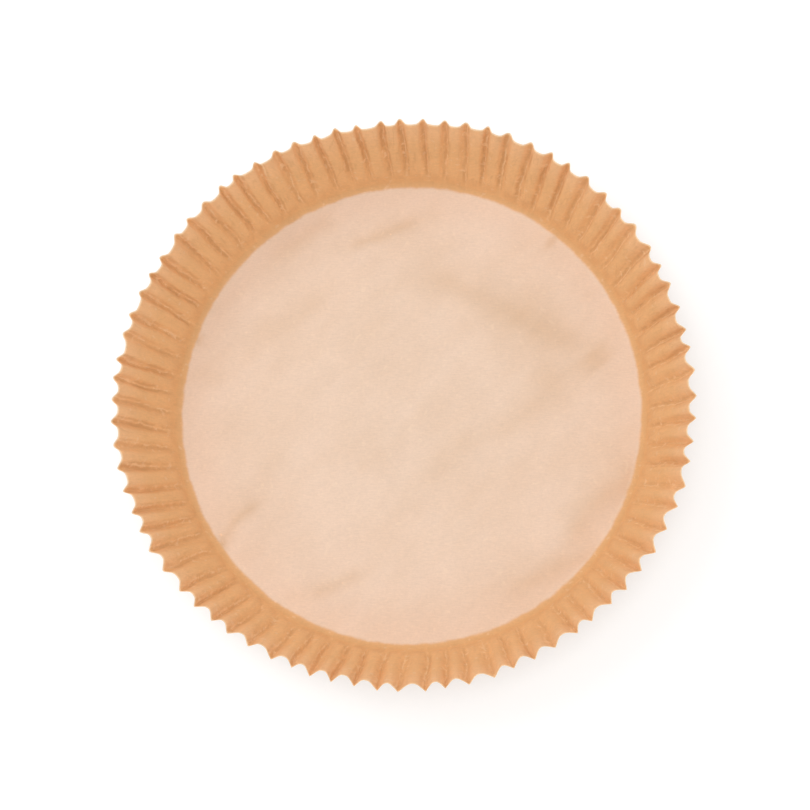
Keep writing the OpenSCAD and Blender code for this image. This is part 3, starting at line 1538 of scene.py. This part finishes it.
@dataclass(frozen=True)
class Studio:
    """Plain floor, soft light and the camera.

    Args:
        lamps: The lamps.
        fill: Brightness of the light that comes from all round.
        floor_half: Half the floor's width, in metres.
        floor_gap: How far the floor lies below the liner, in metres.
        floor_tone: How much light the floor reflects.
        near_glow: Extra brightness of the floor that only the camera sees, near the liner.
        far_glow: The same, far from the liner, where the lamps don't reach.
        glow_run: Distances from the liner's middle over which one turns into the other, in metres.
        camera_place: Where the camera stands, in metres.
        camera_aim: The point that it looks at, in metres.
        lens: Focal length, in millimetres, on a film 36 mm wide.
    """

    lamps: tuple[Lamp, ...] = (
        Lamp("key_lamp", (-0.68, 0.59, 1.24), 0.7, 4.2),
        Lamp("top_lamp", (0.10, -0.15, 1.9), 1.0, 12.6),
    )
    fill: float = 0.60
    floor_half: float = 4.0
    floor_gap: float = 0.02 * MM
    floor_tone: float = 0.72
    near_glow: float = 0.36
    far_glow: float = 0.60
    glow_run: tuple[float, float] = (0.3, 1.6)
    camera_place: tuple[float, float, float] = (0.0636, -0.1033, 0.7315)
    camera_aim: tuple[float, float, float] = (0.00175, -0.00284, 0.040)
    lens: float = 77.1

    def lay_floor(self) -> None:
        """Lays a pale floor just under the liner. The camera sees it white but for the shadow."""
        half = self.floor_half
        mesh = bpy.data.meshes.new("studio_floor")
        corners = [(-half, -half), (half, -half), (half, half), (-half, half)]
        mesh.from_pydata([(x, y, -self.floor_gap) for x, y in corners], [], [(0, 1, 2, 3)])
        floor = bpy.data.objects.new("studio_floor", mesh)
        bpy.context.scene.collection.objects.link(floor)
        made = bpy.data.materials.new("studio_floor")
        made.use_nodes = True
        make = Tree(made.node_tree)
        made.node_tree.nodes.remove(made.node_tree.nodes["Principled BSDF"])
        tone = self.floor_tone
        diffuse = make.node("ShaderNodeBsdfDiffuse")
        diffuse.inputs["Color"].default_value = (tone, tone, tone, 1.0)
        glow = make.node("ShaderNodeEmission")
        away = make.length(make.place())
        strength = make.ramp(away, *self.glow_run, self.near_glow, self.far_glow)
        make.feed(glow.inputs["Strength"], strength)
        seen = make.node("ShaderNodeLightPath").outputs["Is Camera Ray"]
        none = make.node("ShaderNodeEmission")
        none.inputs["Strength"].default_value = 0.0
        shown = make.node("ShaderNodeMixShader")
        make.feed(shown.inputs[0], seen)
        make.feed(shown.inputs[1], none.outputs[0])
        make.feed(shown.inputs[2], glow.outputs[0])
        both = make.node("ShaderNodeAddShader")
        make.feed(both.inputs[0], diffuse.outputs[0])
        make.feed(both.inputs[1], shown.outputs[0])
        make.feed(made.node_tree.nodes["Material Output"].inputs["Surface"], both.outputs[0])
        mesh.materials.append(made)
        floor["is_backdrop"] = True
        LOG.info("floor laid")

    def hang_lamps(self) -> None:
        """Hangs the lamps, each turned to the liner."""
        for lamp in self.lamps:
            light = bpy.data.lights.new(lamp.name, "AREA")
            light.size = lamp.size
            light.energy = lamp.power
            hung = bpy.data.objects.new(lamp.name, light)
            hung.location = lamp.place
            hung.rotation_mode = "QUATERNION"
            hung.rotation_quaternion = (-Vector(lamp.place)).to_track_quat("-Z", "Y")
            bpy.context.scene.collection.objects.link(hung)
            LOG.info("lamp %s", lamp.name)

    def light_air(self) -> None:
        """Lights the air all round, and shows it white to the camera."""
        world = bpy.data.worlds.new("studio_air")
        bpy.context.scene.world = world
        world.use_nodes = True
        make = Tree(world.node_tree)
        background = world.node_tree.nodes["Background"]
        seen = make.node("ShaderNodeLightPath").outputs["Is Camera Ray"]
        make.feed(background.inputs["Color"], (1.0, 1.0, 1.0, 1.0))
        strength = make.plus(make.times(seen, 1 - self.fill), self.fill)
        make.feed(background.inputs["Strength"], strength)
        LOG.info("air lit at %.2f", self.fill)

    def place_camera(self) -> None:
        """Places the camera, with +Y up in the picture."""
        camera = bpy.data.cameras.new("camera")
        camera.lens = self.lens
        camera.sensor_width = 36.0
        camera.sensor_fit = "AUTO"
        camera.clip_start = 0.01
        camera.clip_end = 100.0
        placed = bpy.data.objects.new("camera", camera)
        place = Vector(self.camera_place)
        back = (place - Vector(self.camera_aim)).normalized()
        right = Vector((0.0, 1.0, 0.0)).cross(back).normalized()
        up = back.cross(right)
        turned = Matrix((right, up, back)).transposed().to_4x4()
        placed.matrix_world = Matrix.Translation(place) @ turned
        bpy.context.scene.collection.objects.link(placed)
        bpy.context.scene.camera = placed
        LOG.info("camera placed")

    def build(self) -> None:
        """Builds the whole studio."""
        self.lay_floor()
        self.hang_lamps()
        self.light_air()
        self.place_camera()
        bpy.context.scene.view_settings.view_transform = "Standard"


def main() -> None:
    """Loads the frame, builds the liner in its place and sets it in the studio."""
    logging.basicConfig(level=logging.INFO, format="%(name)s: %(message)s")
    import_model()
    solid_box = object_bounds()
    low, high = solid_box
    sizes = DishSizes(rim_radius=(high.x - low.x) / 2, depth=high.z - low.z)

    paper_liner = PaperLiner(sizes)
    paper_liner.dress(paper_liner.build())
    Studio().build()
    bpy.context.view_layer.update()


if __name__ == "__main__":
    main()
